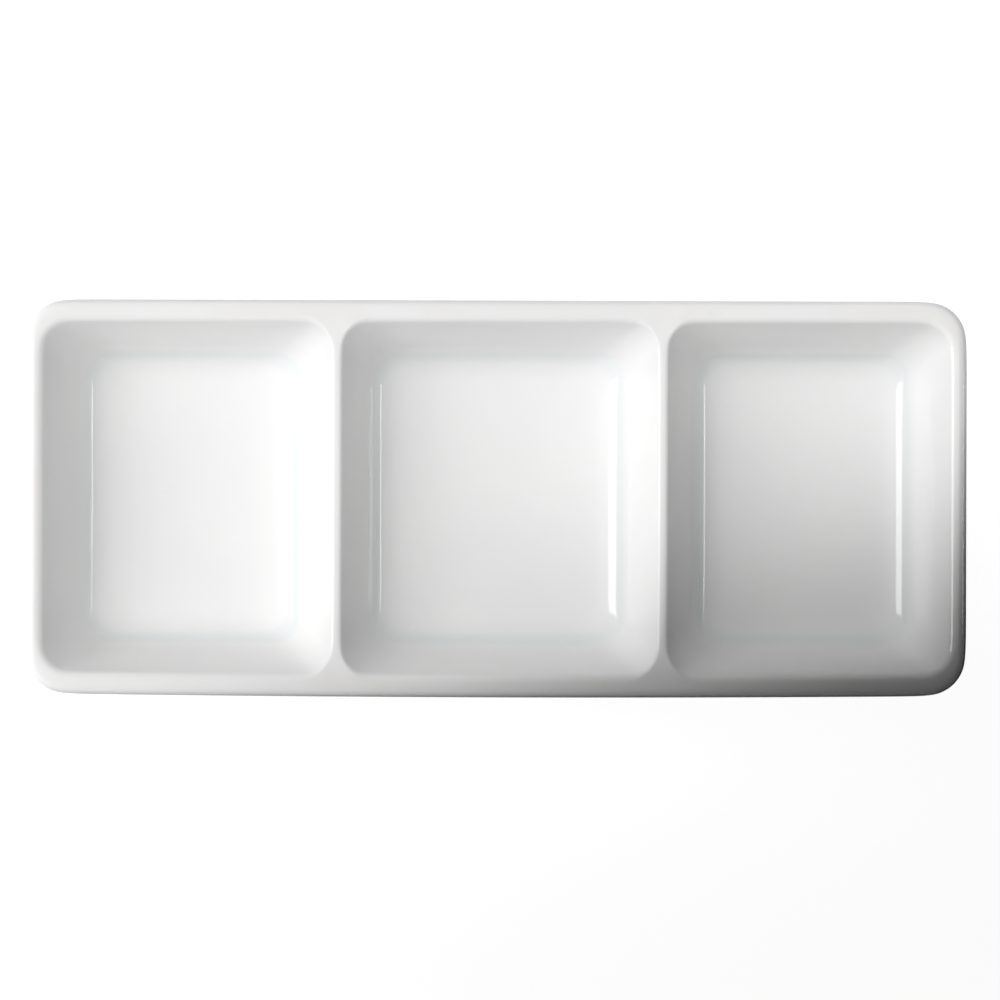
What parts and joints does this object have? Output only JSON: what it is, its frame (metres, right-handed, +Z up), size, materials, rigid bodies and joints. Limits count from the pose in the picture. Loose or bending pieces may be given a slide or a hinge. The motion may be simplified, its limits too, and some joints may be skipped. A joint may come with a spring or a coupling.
{
  "type": "divided serving bowl",
  "caption": "Long shallow serving dish in white glazed porcelain with a row of rectangular basins under one rounded rim, low dividers and bare foot rings.",
  "frame": {"origin": "on the table plane, under the middle of the tray", "axes": "+X along the row of basins, +Y across the tray towards its back long side, +Z up out of the basins"},
  "size_m": [0.3, 0.126, 0.0335],
  "materials": {
    "white_glaze": "thick clear gloss glaze over white porcelain, smooth, with softly pooled corners",
    "bare_biscuit": "unglazed fired porcelain, matte, fine grained and ground flat"
  },
  "bodies": {
    "root": {"rim": "white_glaze", "left_divider": "white_glaze", "right_divider": "white_glaze", "left_well": "white_glaze", "middle_well": "white_glaze", "right_well": "white_glaze", "left_foot_ring": "bare_biscuit", "middle_foot_ring": "bare_biscuit", "right_foot_ring": "bare_biscuit"}
  },
  "joints": []
}
